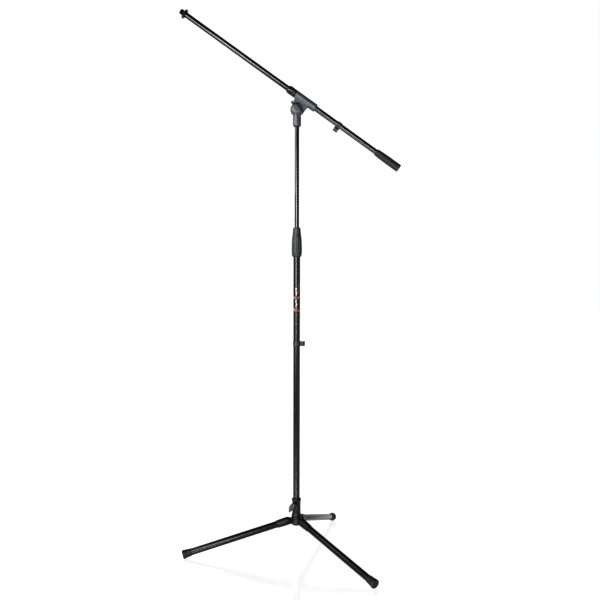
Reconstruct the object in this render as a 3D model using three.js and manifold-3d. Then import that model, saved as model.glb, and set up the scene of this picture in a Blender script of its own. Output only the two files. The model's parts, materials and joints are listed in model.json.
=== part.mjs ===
// Boom microphone stand: folding tripod base, telescopic pole, and a boom held in a tilting T-clamp.
// Millimetres, +Z up, floor at Z = 0. The pole's axis stands at (POLE_X, POLE_Y), so that the origin is the
// middle of the stand's footprint box. The boom lies in the vertical plane through the pole's axis along X.

import * as THREE from "three";
import { mergeVertices } from "three/addons/utils/BufferGeometryUtils.js";
import Module from "manifold-3d";

const wasm = await Module();
wasm.setup();

// ---------------------------------------------------------------- driving dimensions

const POLE_X = 22.2;
const POLE_Y = -25;

const GAP = 0.3; // between touching pieces
const SIDES = 24; // facets of a round piece
const SMALL_SIDES = 16;
const ARC_STEPS = 7; // of a curve in a flat outline
const FAR = 60; // beyond any detail, for the blocks that cut

// tubes: outer radius and wall
const LOWER_TUBE_R = 10.1;
const UPPER_TUBE_R = 6.5;
const BOOM_TUBE_R = 8;
const LEG_TUBE_R = 9.75;
const TUBE_WALL = 1.2;
const THIN_WALL = 1;

// legs
const LEG_AZIMUTHS = [188.5, 308.5, 68.5]; // degrees round the pole from +X
const LEG_SLOPE = THREE.MathUtils.degToRad(15.42); // below the horizontal
const LEG_PIVOT_R = 28; // from the pole's axis
const LEG_PIVOT_Z = 101.5;
const LEG_LENGTH = 339.6; // pivot to the end of the foot
const LEG_SOCKET_END = 36;
const LEG_SOCKET_R = 12.3; // and of its ball-shaped end about the pin
const LEG_SOCKET_MOUTH_R = 11.1;
const FORK_SLOT_HALF = 5.1;
const FORK_SLOT_END = 10.3;
const LEG_TUBE_START = 20;
const FOOT_LENGTH = 28;
const FOOT_R = 13.4;
const FOOT_CAP = 5; // rubber beyond the tube's end
const PIN_R = 3;
const PIN_HALF_LENGTH = 11;

// hub
const YOKE_LOW = 91.8;
const YOKE_HIGH = 116;
const YOKE_R = 15.2;
const LUG_R = 9.5; // of a lug's end, about the leg's pin
const LUG_HALF = 4.8; // thickness
const HOUSING_HIGH = 172.5;
const HOUSING_R = 12.7;
const HOUSING_FOOT_R = 14.7;
const HOUSING_LIP_R = 14.1;
const HUB_BORE_R = LOWER_TUBE_R + 0.4;

// wing screw, half-way between the left and the front leg
const WING_AZIMUTH = THREE.MathUtils.degToRad(248.5);
const WING_Z = 157;
const WING_START = 24.3; // lever's inner face from the pole's axis
const WING_THICK = 6;
const WING_LENGTH = 27;
const WING_TURN = THREE.MathUtils.degToRad(-33); // of the lever from hanging straight down
const BOSS_R = 6.5;
const BOSS_END = 21;
const WING_SPINDLE_R = 3;

// lower pole
const LOWER_TUBE_LOW = 92.4;
const LOWER_TUBE_HIGH = 959;
const LOCK_PLATE_LOW = 88.3;
const LOCK_PLATE_HIGH = 91.1;
const LOCK_PLATE_R = 13.2;
const PLUG_LENGTH = 18; // of the plugs pressed in the ends of the tubes

// clutch
const CLUTCH_LOW = 937;
const CLUTCH_HIGH = 1029;
const CLUTCH_BUSH_LOW = 931;
const CLUTCH_BUSH_HIGH = 984;
const CLUTCH_CHAMBER_R = 12;
const COLLET_LOW = CLUTCH_BUSH_HIGH + 1;
const COLLET_HIGH = CLUTCH_HIGH - 14;
const SLIT_HALF = 1; // of the slit in a collet
const GRIP_R = 15.9; // at its fullest
const FLUTES = 12;

// upper pole and its pivot
const PIVOT_Z = 1404;
const COLLAR_R = 12.4;
const COLLAR_LOW = PIVOT_Z - 55;
const COLLAR_HIGH = PIVOT_Z - 23;
const UPPER_TUBE_LOW = 600;
const UPPER_TUBE_HIGH = PIVOT_Z - 31;
const CHEEK_R = 19.9;
const CHEEK_BACK = -1; // Y of the cheek's rubbing face
const CHEEK_FRONT = -12.5;
const CHEEK_RIM = -4; // Y of the front of the cheek's flat rim
const DOME_EDGE = 7; // from the pivot's axis to the dome's edge, on the side of the clamp's stem
const DOME_EDGE_R = 36; // of that edge
const DOME_EDGE_SLOPE = 7.5; // how far the dome's steep side spreads down to the rim
const DOME_TURN = THREE.MathUtils.degToRad(23); // from the clamp's stem, towards the boom's low end
const NECK_HALF = 8.5;
const NECK_FRONT = -10.5;
const SHOULDER_HALF = 11.8;
const SPINDLE_R = 3.9;
const SPINDLE_HOLE_R = 4.4;
const INSERT_R = 6;

// boom clamp: S runs down the boom, T from the pivot to the boom, both from the pivot
const BOOM_TILT = THREE.MathUtils.degToRad(35.74); // below the horizontal towards +X
const BOOM_T = 37; // pivot axis to boom axis
const DISC_R = 20.6;
const STEM_HALF = 21.3; // along S
const DISC_FRONT = 1;
const DISC_BACK = 10.5;
const WASHER_R = 13.5;
const WEB_FRONT = -9;
const WEB_LOWEST_T = 9;
const STOP_LOW = 5.5; // T of the stop on the clamp's high side
const STOP_HIGH = 12.5;
const STOP_REACH = 7; // beyond the stem
const SLEEVE_R = 12.25;
const SLEEVE_START = -30.4;
const SLEEVE_END = 45.7;
const SPIGOT_R = 10.4;
const SPIGOT_START = -44;
const BOOM_BORE_R = BOOM_TUBE_R + GAP;

// boom lock nut
const NUT_START = -61.6;
const NUT_END = SLEEVE_START - 0.6;
const NUT_R = 12.3;
const NUT_GROOVES = 2;
const NUT_GROOVE_PITCH = 5;
const NUT_GROOVE_DEPTH = 0.8;

// boom
const TIP_END = -481;
const TIP_RING_START = -467;
const TIP_RING_END = -461.4;
const TIP_RING_R = 15.2;
const STUD_R = 7.94; // 5/8 inch thread
const BOOM_TUBE_START = -460.5;
const BOOM_TUBE_END = 366;
const TAIL_GRIP_START = 281;
const TAIL_GRIP_END = 371.7;

// tilt handle, behind the clamp
const HANDLE_START = 11.5;
const HANDLE_BAR_START = 15.5;
const HANDLE_END = 24;
const HANDLE_HALF_LENGTH = 24;
const HANDLE_HALF_WIDTH = 4.6;
const HANDLE_HUB_R = 8;

// cable clips
const CLIP_LENGTH = 14.6;
const POLE_CLIP_WALL = 0.9;
const BOOM_CLIP_WALL = 1.6;
const CLIP_NECK_HALF = 5;
const CLIP_REACH = 15.6; // from the tube's surface to the end of the hook
const HOOK_R = 7;
const HOOK_WALL = 2;
const HOOK_MOUTH_HALF = 3;
const POLE_CLIP_Z = 662;
const BOOM_CLIP_S = 137;

// ---------------------------------------------------------------- materials

const standard = (color, roughness, metalness = 0) =>
  new THREE.MeshStandardMaterial({ color, roughness, metalness });

const BLACK_PAINT = standard(0x0d0d0e, 0.25, 0.1);
const GREY_PLASTIC = standard(0x3a3b40, 0.5);
const DARK_PLASTIC = standard(0x26272a, 0.45);
const BLACK_PLASTIC = standard(0x131314, 0.4);
const BLACK_RUBBER = standard(0x111112, 0.8);
const NYLON = standard(0xb9b6ab, 0.55);
const STEEL = standard(0x9a9c9f, 0.35, 1);
const BRASS = standard(0xb08d4a, 0.35, 1);

// ---------------------------------------------------------------- solids and meshes

function toSolid(geometry) {
  const bare = geometry.clone();
  bare.deleteAttribute("normal");
  bare.deleteAttribute("uv");
  const merged = mergeVertices(bare, 1e-4);
  return new wasm.Manifold(
    new wasm.Mesh({
      numProp: 3,
      vertProperties: merged.attributes.position.array,
      triVerts: new Uint32Array(merged.index.array),
    }),
  );
}

function toGeometry(solid) {
  const { vertProperties, triVerts } = solid.getMesh();
  const geometry = new THREE.BufferGeometry();
  geometry.setAttribute("position", new THREE.BufferAttribute(vertProperties, 3));
  geometry.setIndex(new THREE.BufferAttribute(triVerts, 1));
  geometry.computeVertexNormals();
  return geometry;
}

const join = (...parts) => toGeometry(parts.map(toSolid).reduce((all, one) => all.add(one)));
const cut = (body, ...tools) =>
  toGeometry(tools.map(toSolid).reduce((left, tool) => left.subtract(tool), toSolid(body)));
const common = (body, tool) => toGeometry(toSolid(body).intersect(toSolid(tool)));

// A closed outline of [radius, height] points, turned round the Z axis.
function revolve(outline, sides = SIDES) {
  const points = outline.map(([radius, height]) => new THREE.Vector2(radius, height));
  const turning = THREE.ShapeUtils.area(points);
  if (turning < 0) points.reverse();
  const onAxis = points[0].x === 0;
  if (!onAxis) points.push(points[0].clone());
  return new THREE.LatheGeometry(points, sides).rotateX(Math.PI / 2);
}

// A round rod on the axis; the outline starts and ends on the axis.
const rod = (radius, low, high, chamfer = 0, sides = SIDES) =>
  revolve(
    chamfer
      ? [
          [0, low],
          [radius - chamfer, low],
          [radius, low + chamfer],
          [radius, high - chamfer],
          [radius - chamfer, high],
          [0, high],
        ]
      : [
          [0, low],
          [radius, low],
          [radius, high],
          [0, high],
        ],
    sides,
  );

const pipe = (outer, inner, low, high, sides = SIDES) =>
  revolve(
    [
      [inner, low],
      [outer, low],
      [outer, high],
      [inner, high],
    ],
    sides,
  );

// A block given by its low and high corners.
function block(low, high) {
  const size = high.map((value, axis) => value - low[axis]);
  const middle = high.map((value, axis) => (value + low[axis]) / 2);
  return new THREE.BoxGeometry(...size).translate(...middle);
}

// A flat outline in X and Z, thickened along Y from front to back.
function slab(shape, front, back, curveSegments = ARC_STEPS) {
  const geometry = new THREE.ExtrudeGeometry(shape, {
    depth: back - front,
    bevelEnabled: false,
    curveSegments,
  });
  return geometry.rotateX(Math.PI / 2).translate(0, back, 0);
}

// Turns a piece that was made along Z so that it lies along Y, front to back.
const alongY = (geometry) => geometry.rotateX(-Math.PI / 2);
// Turns a piece that was made along Z so that it lies along X.
const alongX = (geometry) => geometry.rotateY(Math.PI / 2);

function mesh(name, geometry, material) {
  const made = new THREE.Mesh(geometry, material);
  made.name = name;
  return made;
}

function group(position, ...children) {
  const made = new THREE.Group();
  made.position.set(...position);
  made.add(...children);
  return made;
}

// ---------------------------------------------------------------- tripod base

function hubHousing() {
  const bodyOutline = [
    [HUB_BORE_R, YOKE_HIGH + GAP],
    [HOUSING_FOOT_R, YOKE_HIGH + GAP],
    [HOUSING_FOOT_R, YOKE_HIGH + 4],
    [HOUSING_R, YOKE_HIGH + 9],
    [HOUSING_R, HOUSING_HIGH - 10],
    [HOUSING_LIP_R, HOUSING_HIGH - 8],
    [HOUSING_LIP_R, HOUSING_HIGH - 2],
    [HOUSING_R, HOUSING_HIGH],
    [HUB_BORE_R, HOUSING_HIGH],
  ];
  const onBoss = (geometry) =>
    alongX(geometry).rotateZ(WING_AZIMUTH).translate(0, 0, WING_Z);
  const boss = onBoss(rod(BOSS_R, LOWER_TUBE_R, BOSS_END, 0, SMALL_SIDES));
  const bore = rod(HUB_BORE_R, YOKE_HIGH, HOUSING_HIGH + 1);
  const screwHole = onBoss(rod(WING_SPINDLE_R + GAP, 0, BOSS_END + 1, 0, SMALL_SIDES));
  return cut(join(revolve(bodyOutline), boss), bore, screwHole);
}

// One lug for a leg, from the yoke's ring out to a round end about the leg's pin.
function yokeLug() {
  const outline = new THREE.Shape();
  outline.moveTo(LOWER_TUBE_R + 2, LEG_PIVOT_Z - LUG_R);
  outline.lineTo(LEG_PIVOT_R, LEG_PIVOT_Z - LUG_R);
  outline.absarc(LEG_PIVOT_R, LEG_PIVOT_Z, LUG_R, -Math.PI / 2, Math.PI / 2, false);
  outline.lineTo(LOWER_TUBE_R + 2, LEG_PIVOT_Z + LUG_R);
  outline.closePath();
  return slab(outline, -LUG_HALF, LUG_HALF);
}

const azimuthOf = (number) => THREE.MathUtils.degToRad(LEG_AZIMUTHS[number]);

// The pin's line, in the leg's own vertical plane.
const onPin = (geometry) => alongY(geometry).translate(LEG_PIVOT_R, 0, LEG_PIVOT_Z);

function hubYoke() {
  const lugs = LEG_AZIMUTHS.map((_, number) => yokeLug().rotateZ(azimuthOf(number)));
  const ring = rod(YOKE_R, YOKE_LOW, YOKE_HIGH, 1);
  const pinHoles = LEG_AZIMUTHS.map((_, number) =>
    onPin(rod(PIN_R + GAP, -LUG_HALF - 1, LUG_HALF + 1, 0, SMALL_SIDES)).rotateZ(azimuthOf(number)),
  );
  return cut(join(ring, ...lugs), rod(HUB_BORE_R, YOKE_LOW - 1, YOKE_HIGH + 1), ...pinHoles);
}

// Leg pieces are made along Z from the pivot, and laid on the leg's line by legGroup.
// The socket's inner end is a ball about the pin, slotted to make a fork over the yoke's lug.
function legSocket() {
  const end = LEG_SOCKET_END;
  const ballAngles = [-68, -46, -23, 0].map(THREE.MathUtils.degToRad);
  const barrel = revolve([
    [0, -LEG_SOCKET_R],
    ...ballAngles.map((angle) => [LEG_SOCKET_R * Math.cos(angle), LEG_SOCKET_R * Math.sin(angle)]),
    [LEG_SOCKET_R, LEG_SOCKET_R / 2],
    [LEG_SOCKET_MOUTH_R, end - 1],
    [LEG_SOCKET_MOUTH_R - 0.6, end],
    [0, end],
  ]);
  const slot = block([-FAR, -FORK_SLOT_HALF, -FAR], [FAR, FORK_SLOT_HALF, FORK_SLOT_END]);
  const pinHole = alongY(rod(PIN_R + GAP, -FAR, FAR, 0, SMALL_SIDES));
  const tubeHole = rod(LEG_TUBE_R + GAP, LEG_TUBE_START - GAP, end + 1);
  return cut(barrel, slot, pinHole, tubeHole);
}

const legTube = () =>
  pipe(LEG_TUBE_R, LEG_TUBE_R - TUBE_WALL, LEG_TUBE_START, LEG_LENGTH - FOOT_CAP - GAP);

// The rubber foot, with the small flat that it stands on.
function legFoot() {
  const start = LEG_LENGTH - FOOT_LENGTH;
  const sleeve = revolve([
    [LEG_TUBE_R + GAP, start],
    [LEG_TUBE_R + 1.2, start],
    [LEG_TUBE_R + 1.6, start + 5],
    [LEG_TUBE_R + 2.2, LEG_LENGTH - 14],
    [FOOT_R - 0.6, LEG_LENGTH - 7],
    [FOOT_R, LEG_LENGTH - 4],
    [FOOT_R - 0.3, LEG_LENGTH - 1.2],
    [FOOT_R - 1.4, LEG_LENGTH],
    [0, LEG_LENGTH],
    [0, LEG_LENGTH - FOOT_CAP],
    [LEG_TUBE_R + GAP, LEG_LENGTH - FOOT_CAP],
  ]);
  const floor = block([0, -FAR, -FAR], [2 * LEG_LENGTH, FAR, 0])
    .translate(0, 0, -LEG_PIVOT_Z)
    .rotateY(-Math.PI / 2 - LEG_SLOPE);
  return cut(sleeve, floor);
}

function legGroup(number) {
  const id = number + 1;
  const along = group(
    [LEG_PIVOT_R, 0, LEG_PIVOT_Z],
    mesh(`leg_socket_${id}`, legSocket(), BLACK_PLASTIC),
    mesh(`leg_tube_${id}`, legTube(), BLACK_PAINT),
    mesh(`leg_foot_${id}`, legFoot(), BLACK_RUBBER),
  );
  along.rotation.y = Math.PI / 2 + LEG_SLOPE;
  const pin = mesh(
    `leg_pin_${id}`,
    onPin(rod(PIN_R, -PIN_HALF_LENGTH, PIN_HALF_LENGTH, 0.4, SMALL_SIDES)),
    BLACK_PAINT,
  );
  const leg = group([0, 0, 0], along, pin);
  leg.rotation.z = azimuthOf(number);
  return leg;
}

function wingLever() {
  const leaf = new THREE.Shape();
  leaf.moveTo(BOSS_R * 0.9, 1);
  leaf.quadraticCurveTo(BOSS_R + 2.5, -WING_LENGTH * 0.55, -1, -WING_LENGTH);
  leaf.quadraticCurveTo(-BOSS_R - 1.5, -WING_LENGTH * 0.75, -BOSS_R * 0.9, 1);
  leaf.closePath();
  const blade = slab(leaf, 0, WING_THICK);
  const hub = alongY(rod(BOSS_R, -0.8, WING_THICK + 1, 0.6, SMALL_SIDES));
  const hole = alongY(rod(WING_SPINDLE_R + GAP, -2, WING_THICK - 1, 0, SMALL_SIDES));
  return cut(join(blade, hub), hole);
}

function wingScrewGroup() {
  const lever = mesh("wing_screw_lever", wingLever().rotateY(WING_TURN), DARK_PLASTIC);
  lever.position.y = WING_START;
  const spindleEnd = WING_START + WING_THICK - 1 - GAP;
  const spindle = mesh(
    "wing_screw_spindle",
    alongY(rod(WING_SPINDLE_R, LOWER_TUBE_R + 0.5, spindleEnd, 0.5, SMALL_SIDES)),
    STEEL,
  );
  const screw = group([0, 0, WING_Z], lever, spindle);
  screw.rotation.z = WING_AZIMUTH - Math.PI / 2;
  return screw;
}

const baseGroup = () =>
  group(
    [0, 0, 0],
    mesh("hub_housing", hubHousing(), BLACK_PLASTIC),
    mesh("hub_yoke", hubYoke(), BLACK_PLASTIC),
    ...LEG_AZIMUTHS.map((_, number) => legGroup(number)),
    wingScrewGroup(),
  );

// ---------------------------------------------------------------- cable clips

// A clip's end-on outline: a ring that snaps on the tube, and a hook for the cable that opens to one side.
function cableClip(tubeR, wall) {
  const ringR = tubeR + GAP + wall;
  const hookX = tubeR + CLIP_REACH - HOOK_R;
  const half = CLIP_LENGTH / 2;
  const body = join(
    rod(ringR, -half, half, 0, SIDES),
    rod(HOOK_R, -half, half, 0, SMALL_SIDES).translate(hookX, 0, 0),
    block([tubeR + 0.5, -CLIP_NECK_HALF, -half], [hookX, CLIP_NECK_HALF, half]),
  );
  const through = half + 1;
  const hookMouth = block(
    [hookX - HOOK_MOUTH_HALF, 0, -through],
    [hookX + HOOK_MOUTH_HALF, HOOK_R + 2, through],
  );
  const ringMouth = block([-tubeR * 0.55, 0, -through], [tubeR * 0.25, ringR + 2, through]);
  return cut(
    body,
    rod(tubeR + GAP, -through, through),
    rod(HOOK_R - HOOK_WALL, -through, through, 0, SMALL_SIDES).translate(hookX, 0, 0),
    hookMouth,
    ringMouth,
  );
}

// ---------------------------------------------------------------- pole

const lockPlate = () =>
  revolve([
    [0, LOCK_PLATE_LOW],
    [LOCK_PLATE_R - 2, LOCK_PLATE_LOW],
    [LOCK_PLATE_R, LOCK_PLATE_LOW + 1.5],
    [LOCK_PLATE_R, LOCK_PLATE_HIGH],
    [LOWER_TUBE_R - TUBE_WALL - GAP, LOCK_PLATE_HIGH],
    [LOWER_TUBE_R - TUBE_WALL - GAP, LOWER_TUBE_LOW + PLUG_LENGTH],
    [0, LOWER_TUBE_LOW + PLUG_LENGTH],
  ]);

// The bush in the lower tube's mouth: it guides the upper tube, and the clutch screws on its head.
const clutchBush = () =>
  revolve([
    [UPPER_TUBE_R + GAP, CLUTCH_BUSH_LOW],
    [LOWER_TUBE_R - TUBE_WALL - GAP, CLUTCH_BUSH_LOW],
    [LOWER_TUBE_R - TUBE_WALL - GAP, LOWER_TUBE_HIGH + GAP],
    [LOWER_TUBE_R, LOWER_TUBE_HIGH + GAP],
    [LOWER_TUBE_R, CLUTCH_BUSH_HIGH],
    [UPPER_TUBE_R + GAP, CLUTCH_BUSH_HIGH],
  ]);

// The split nylon ring that the clutch squeezes on the upper tube.
const clutchCollet = () =>
  cut(
    revolve([
      [UPPER_TUBE_R + GAP, COLLET_LOW],
      [UPPER_TUBE_R + 3, COLLET_LOW],
      [UPPER_TUBE_R + 1.6, COLLET_HIGH],
      [UPPER_TUBE_R + GAP, COLLET_HIGH],
    ]),
    block([0, -SLIT_HALF, COLLET_LOW - 1], [FAR, SLIT_HALF, COLLET_HIGH + 1]),
  );

const clutchNut = () =>
  pipe(CLUTCH_CHAMBER_R - GAP, LOWER_TUBE_R + 0.4, CLUTCH_LOW + 6, CLUTCH_BUSH_HIGH - 1);

// The hand grip of the clutch, waisted at the top and fullest near the bottom, with shallow flutes.
function clutchGrip() {
  const outer = [
    [12.8, CLUTCH_LOW],
    [14.5, CLUTCH_LOW + 3.5],
    [15.5, CLUTCH_LOW + 10],
    [GRIP_R, CLUTCH_LOW + 23],
    [15.6, CLUTCH_LOW + 38],
    [14.9, CLUTCH_LOW + 53],
    [14.4, CLUTCH_LOW + 61],
    [12.7, CLUTCH_LOW + 70],
    [12.1, CLUTCH_LOW + 77],
    [11.2, CLUTCH_LOW + 87],
    [10.4, CLUTCH_HIGH],
  ];
  const inner = [
    [UPPER_TUBE_R + 0.5, CLUTCH_HIGH],
    [UPPER_TUBE_R + 0.5, CLUTCH_HIGH - 8],
    [UPPER_TUBE_R + 2.2, CLUTCH_HIGH - 12],
    [UPPER_TUBE_R + 3.8, COLLET_LOW],
    [CLUTCH_CHAMBER_R - 1, CLUTCH_BUSH_HIGH],
    [CLUTCH_CHAMBER_R, CLUTCH_BUSH_HIGH - 1],
    [CLUTCH_CHAMBER_R, CLUTCH_LOW + 5],
    [LOWER_TUBE_R + 0.4, CLUTCH_LOW + 5],
    [LOWER_TUBE_R + 0.4, CLUTCH_LOW],
  ];
  const fluteR = 3;
  const fluteDepth = 0.7;
  const flutes = Array.from({ length: FLUTES }, (_, turn) =>
    rod(fluteR, CLUTCH_LOW + 12, CLUTCH_LOW + 50, 0, 8)
      .translate(GRIP_R + fluteR - fluteDepth, 0, 0)
      .rotateZ((turn * 2 * Math.PI) / FLUTES),
  );
  return cut(revolve([...outer, ...inner]), ...flutes);
}

// The bush on the upper tube's lower end: it turns in the upper tube and slides in the lower tube.
const tubeEndBush = () =>
  revolve([
    [0, UPPER_TUBE_LOW - 20],
    [LOWER_TUBE_R - TUBE_WALL - GAP - 1, UPPER_TUBE_LOW - 20],
    [LOWER_TUBE_R - TUBE_WALL - GAP, UPPER_TUBE_LOW - 19],
    [LOWER_TUBE_R - TUBE_WALL - GAP, UPPER_TUBE_LOW - GAP],
    [UPPER_TUBE_R - THIN_WALL - GAP, UPPER_TUBE_LOW - GAP],
    [UPPER_TUBE_R - THIN_WALL - GAP, UPPER_TUBE_LOW + PLUG_LENGTH],
    [0, UPPER_TUBE_LOW + PLUG_LENGTH],
  ]);

function lowerPoleGroup() {
  const clip = mesh("pole_cable_clip", cableClip(LOWER_TUBE_R, POLE_CLIP_WALL), DARK_PLASTIC);
  clip.position.z = POLE_CLIP_Z;
  const tube = pipe(LOWER_TUBE_R, LOWER_TUBE_R - TUBE_WALL, LOWER_TUBE_LOW, LOWER_TUBE_HIGH);
  return group(
    [0, 0, 0],
    mesh("lower_tube", tube, BLACK_PAINT),
    mesh("leg_lock_plate", lockPlate(), BLACK_PLASTIC),
    mesh("clutch_bush", clutchBush(), NYLON),
    mesh("clutch_collet", clutchCollet(), NYLON),
    mesh("clutch_grip", clutchGrip(), DARK_PLASTIC),
    mesh("clutch_nut", clutchNut(), BRASS),
    clip,
  );
}

// The pivot socket: a collar on the upper tube, and a domed cheek in front of the clamp's disc.
function pivotSocket() {
  const bottom = COLLAR_LOW - PIVOT_Z;
  const top = COLLAR_HIGH - PIVOT_Z;
  const collar = revolve([
    [0, bottom],
    [COLLAR_R - 3, bottom],
    [COLLAR_R, bottom + 3.5],
    [COLLAR_R, top - 1],
    [COLLAR_R - 1, top],
    [0, top],
  ]);
  const depth = CHEEK_FRONT - CHEEK_BACK;
  const fullDome = alongY(
    revolve([
      [0, CHEEK_FRONT],
      [CHEEK_R * 0.45, CHEEK_BACK + depth * 0.96],
      [CHEEK_R * 0.75, CHEEK_BACK + depth * 0.82],
      [CHEEK_R * 0.93, CHEEK_BACK + depth * 0.58],
      [CHEEK_R, CHEEK_BACK + depth * 0.3],
      [CHEEK_R, CHEEK_BACK],
      [0, CHEEK_BACK],
    ]),
  );
  // the dome is lens-shaped: it drops steeply to the rim on the side of the clamp's stem
  const lens = alongY(
    revolve(
      [
        [0, CHEEK_FRONT - 1],
        [DOME_EDGE_R, CHEEK_FRONT - 1],
        [DOME_EDGE_R + DOME_EDGE_SLOPE, CHEEK_RIM],
        [DOME_EDGE_R + DOME_EDGE_SLOPE, CHEEK_BACK + 1],
        [0, CHEEK_BACK + 1],
      ],
      3 * SIDES,
    ),
  )
    .translate(0, 0, DOME_EDGE - DOME_EDGE_R)
    .rotateY(BOOM_TILT + DOME_TURN);
  const rim = alongY(rod(CHEEK_R, CHEEK_RIM, CHEEK_BACK));
  const cheek = join(common(fullDome, lens), rim);
  const neck = block([-NECK_HALF, NECK_FRONT, top - 2], [NECK_HALF, CHEEK_BACK, -8]);
  const shoulder = common(
    rod(COLLAR_R, top - 2, -10),
    block([-SHOULDER_HALF, -COLLAR_R, top - 3], [SHOULDER_HALF, CHEEK_BACK, 0]),
  );
  const tubeHole = rod(UPPER_TUBE_R + GAP, bottom - 1, UPPER_TUBE_HIGH - PIVOT_Z + GAP);
  const pocket = alongY(rod(INSERT_R + GAP, CHEEK_BACK - 7, CHEEK_BACK + 1, 0, SMALL_SIDES));
  return cut(join(collar, cheek, neck, shoulder), tubeHole, pocket);
}

const threadInsert = () =>
  alongY(pipe(INSERT_R, SPINDLE_R + GAP, CHEEK_BACK - 6.7, CHEEK_BACK - GAP, SMALL_SIDES));

const tiltSpindle = () =>
  alongY(rod(SPINDLE_R, CHEEK_BACK - 6, HANDLE_END - 3, 0.5, SMALL_SIDES));

function tiltLever() {
  const bar = new THREE.Shape();
  const end = HANDLE_HALF_LENGTH - HANDLE_HALF_WIDTH;
  bar.absarc(0, end, HANDLE_HALF_WIDTH, 0, Math.PI, false);
  bar.absarc(0, -end, HANDLE_HALF_WIDTH, Math.PI, 2 * Math.PI, false);
  bar.closePath();
  const hub = alongY(rod(HANDLE_HUB_R, HANDLE_START, HANDLE_END, 1, SMALL_SIDES));
  const hole = alongY(
    rod(SPINDLE_R + GAP, HANDLE_START - 1, HANDLE_END - 3 + GAP, 0, SMALL_SIDES),
  );
  return cut(join(slab(bar, HANDLE_BAR_START, HANDLE_END - 0.5), hub), hole);
}

function upperPoleGroup() {
  const pivot = group(
    [0, 0, PIVOT_Z],
    mesh("pivot_socket", pivotSocket(), GREY_PLASTIC),
    mesh("tilt_thread_insert", threadInsert(), BRASS),
    mesh("tilt_spindle", tiltSpindle(), STEEL),
    mesh("tilt_lever", tiltLever(), DARK_PLASTIC),
    boomGroup(),
  );
  const tube = pipe(UPPER_TUBE_R, UPPER_TUBE_R - THIN_WALL, UPPER_TUBE_LOW, UPPER_TUBE_HIGH);
  return group(
    [0, 0, 0],
    mesh("upper_tube", tube, BLACK_PAINT),
    mesh("tube_end_bush", tubeEndBush(), NYLON),
    pivot,
  );
}

// ---------------------------------------------------------------- boom clamp
// Made with S along X and T along Z, from the pivot. boomGroup tilts it.

// Turns a piece that was made along Z so that it lies along the boom.
const alongBoom = (geometry) => alongX(geometry).translate(0, 0, BOOM_T);

function clampBody() {
  const sleeveUnder = BOOM_T - SLEEVE_R;
  const stem = new THREE.Shape();
  stem.absarc(0, 0, DISC_R, Math.PI, 2 * Math.PI, false);
  stem.lineTo(STEM_HALF, 0);
  stem.lineTo(STEM_HALF, sleeveUnder - 6);
  stem.quadraticCurveTo(STEM_HALF, sleeveUnder + 2, STEM_HALF + 10, sleeveUnder + 6);
  stem.lineTo(STEM_HALF + 10, BOOM_T);
  stem.lineTo(SLEEVE_START + 0.5, BOOM_T);
  stem.lineTo(SLEEVE_START + 0.5, sleeveUnder + 6);
  stem.quadraticCurveTo(-STEM_HALF - 3, sleeveUnder - 2, -STEM_HALF, STOP_LOW);
  stem.closePath();
  const stop = block(
    [-STEM_HALF - STOP_REACH, WEB_FRONT + 1, STOP_LOW],
    [-STEM_HALF + 5, DISC_FRONT + 3, STOP_HIGH],
  );
  const web = join(slab(stem, WEB_FRONT, DISC_BACK), stop);
  const sleeve = alongBoom(rod(SLEEVE_R, SLEEVE_START, SLEEVE_END, 0.8));
  const spigot = alongBoom(rod(SPIGOT_R, SPIGOT_START, SLEEVE_START + 2));
  const cheekRoom = alongY(rod(CHEEK_R + 0.5, WEB_FRONT - 6, DISC_FRONT));
  const boomHole = alongBoom(rod(BOOM_BORE_R, SPIGOT_START - 1, SLEEVE_END + 1));
  const spindleHole = alongY(rod(SPINDLE_HOLE_R, 0, DISC_BACK + 1, 0, SMALL_SIDES));
  const stopUnder = block([-FAR, -FAR, -FAR], [-STEM_HALF + 2, DISC_FRONT, STOP_LOW]);
  const stemFront = block([-STEM_HALF + 2, -FAR, -FAR], [FAR, DISC_FRONT, WEB_LOWEST_T]);
  return cut(join(web, sleeve, spigot), cheekRoom, stopUnder, stemFront, boomHole, spindleHole);
}

const pivotWasher = () => alongY(pipe(WASHER_R, SPINDLE_HOLE_R, -0.65, 0.65));

function boomLockNut() {
  const outer = [
    [BOOM_TUBE_R + 1, NUT_START],
    [NUT_R - 1.6, NUT_START + 1.8],
    [NUT_R, NUT_START + 5.5],
    [NUT_R, NUT_END - NUT_GROOVES * NUT_GROOVE_PITCH - 1],
  ];
  for (let groove = NUT_GROOVES; groove > 0; groove -= 1) {
    const at = NUT_END - groove * NUT_GROOVE_PITCH;
    outer.push([NUT_R - NUT_GROOVE_DEPTH, at], [NUT_R - NUT_GROOVE_DEPTH, at + 1.4]);
    outer.push([NUT_R, at + 2.2], [NUT_R, at + NUT_GROOVE_PITCH - 0.8]);
  }
  outer.pop();
  const inner = [
    [SPIGOT_R + 0.4, NUT_END],
    [SPIGOT_R + 0.4, SPIGOT_START - 0.6],
    [SPIGOT_R - 0.1, SPIGOT_START - 0.6],
    [SPIGOT_R - 0.1, NUT_START + 5],
    [BOOM_BORE_R + 0.2, NUT_START + 4],
    [BOOM_BORE_R + 0.2, NUT_START],
  ];
  outer.push([NUT_R, NUT_END]);
  return revolve([...outer, ...inner]);
}

const boomCollet = () =>
  cut(
    pipe(SPIGOT_R - 0.5, BOOM_BORE_R, NUT_START + 5.4, SPIGOT_START - 0.9),
    block([0, -SLIT_HALF, NUT_START], [FAR, SLIT_HALF, SPIGOT_START]),
  );

const tipStud = () =>
  revolve([
    [0, TIP_END],
    [STUD_R - 1, TIP_END],
    [STUD_R, TIP_END + 1],
    [STUD_R, BOOM_TUBE_START - GAP],
    [BOOM_TUBE_R - THIN_WALL - GAP, BOOM_TUBE_START - GAP],
    [BOOM_TUBE_R - THIN_WALL - GAP, BOOM_TUBE_START + PLUG_LENGTH],
    [0, BOOM_TUBE_START + PLUG_LENGTH],
  ]);

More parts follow.
